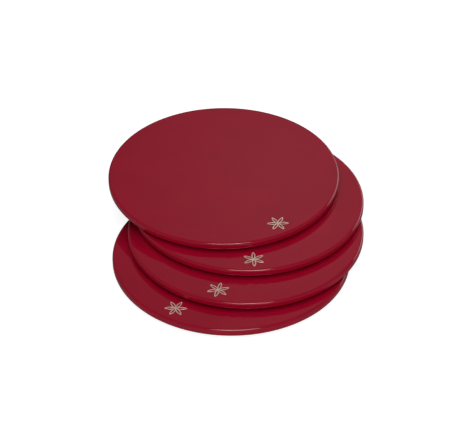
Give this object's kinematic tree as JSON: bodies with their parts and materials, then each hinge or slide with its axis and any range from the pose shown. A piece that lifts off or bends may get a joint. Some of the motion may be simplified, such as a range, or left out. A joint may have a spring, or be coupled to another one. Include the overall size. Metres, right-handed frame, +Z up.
{
  "type": "coaster stack",
  "caption": "Fanned stack of loose round gloss-lacquered drinks coasters, each with a gold line-work rosette near its rim and a felt pad underneath.",
  "frame": {"origin": "centre of the bottom coaster's underside, where its felt meets the table", "axes": "+Z up through the stack; -Y to the front, where the marks lie; the stack steps back along +Y as it rises"},
  "size_m": [0.1101, 0.1404, 0.0162],
  "materials": {
    "red_lacquer": "deep red polished lacquer, mirror gloss",
    "wood_core": "bare fine-grained fibreboard",
    "gold_line": "polished pale gold, flush with the lacquer",
    "glue": "clear pressure-sensitive adhesive film",
    "felt": "black wool-blend felt"
  },
  "bodies": {
    "coaster_1": {"coaster_1_wood_core": "wood_core", "coaster_1_lacquer_shell": "red_lacquer", "coaster_1_gold_mark": "gold_line", "coaster_1_glue_film": "glue", "coaster_1_felt_pad": "felt"},
    "coaster_2": {"coaster_2_wood_core": "wood_core", "coaster_2_lacquer_shell": "red_lacquer", "coaster_2_gold_mark": "gold_line", "coaster_2_glue_film": "glue", "coaster_2_felt_pad": "felt"},
    "coaster_3": {"coaster_3_wood_core": "wood_core", "coaster_3_lacquer_shell": "red_lacquer", "coaster_3_gold_mark": "gold_line", "coaster_3_glue_film": "glue", "coaster_3_felt_pad": "felt"},
    "coaster_4": {"coaster_4_wood_core": "wood_core", "coaster_4_lacquer_shell": "red_lacquer", "coaster_4_gold_mark": "gold_line", "coaster_4_glue_film": "glue", "coaster_4_felt_pad": "felt"}
  },
  "joints": [
    {"name": "coaster_2_lift", "type": "slide", "parent": "coaster_1", "child": "coaster_2", "axis": [0, 0, 1], "range_m": [0, 0.08]},
    {"name": "coaster_3_lift", "type": "slide", "parent": "coaster_2", "child": "coaster_3", "axis": [0, 0, 1], "range_m": [0, 0.08]},
    {"name": "coaster_4_lift", "type": "slide", "parent": "coaster_3", "child": "coaster_4", "axis": [0, 0, 1], "range_m": [0, 0.08]}
  ]
}
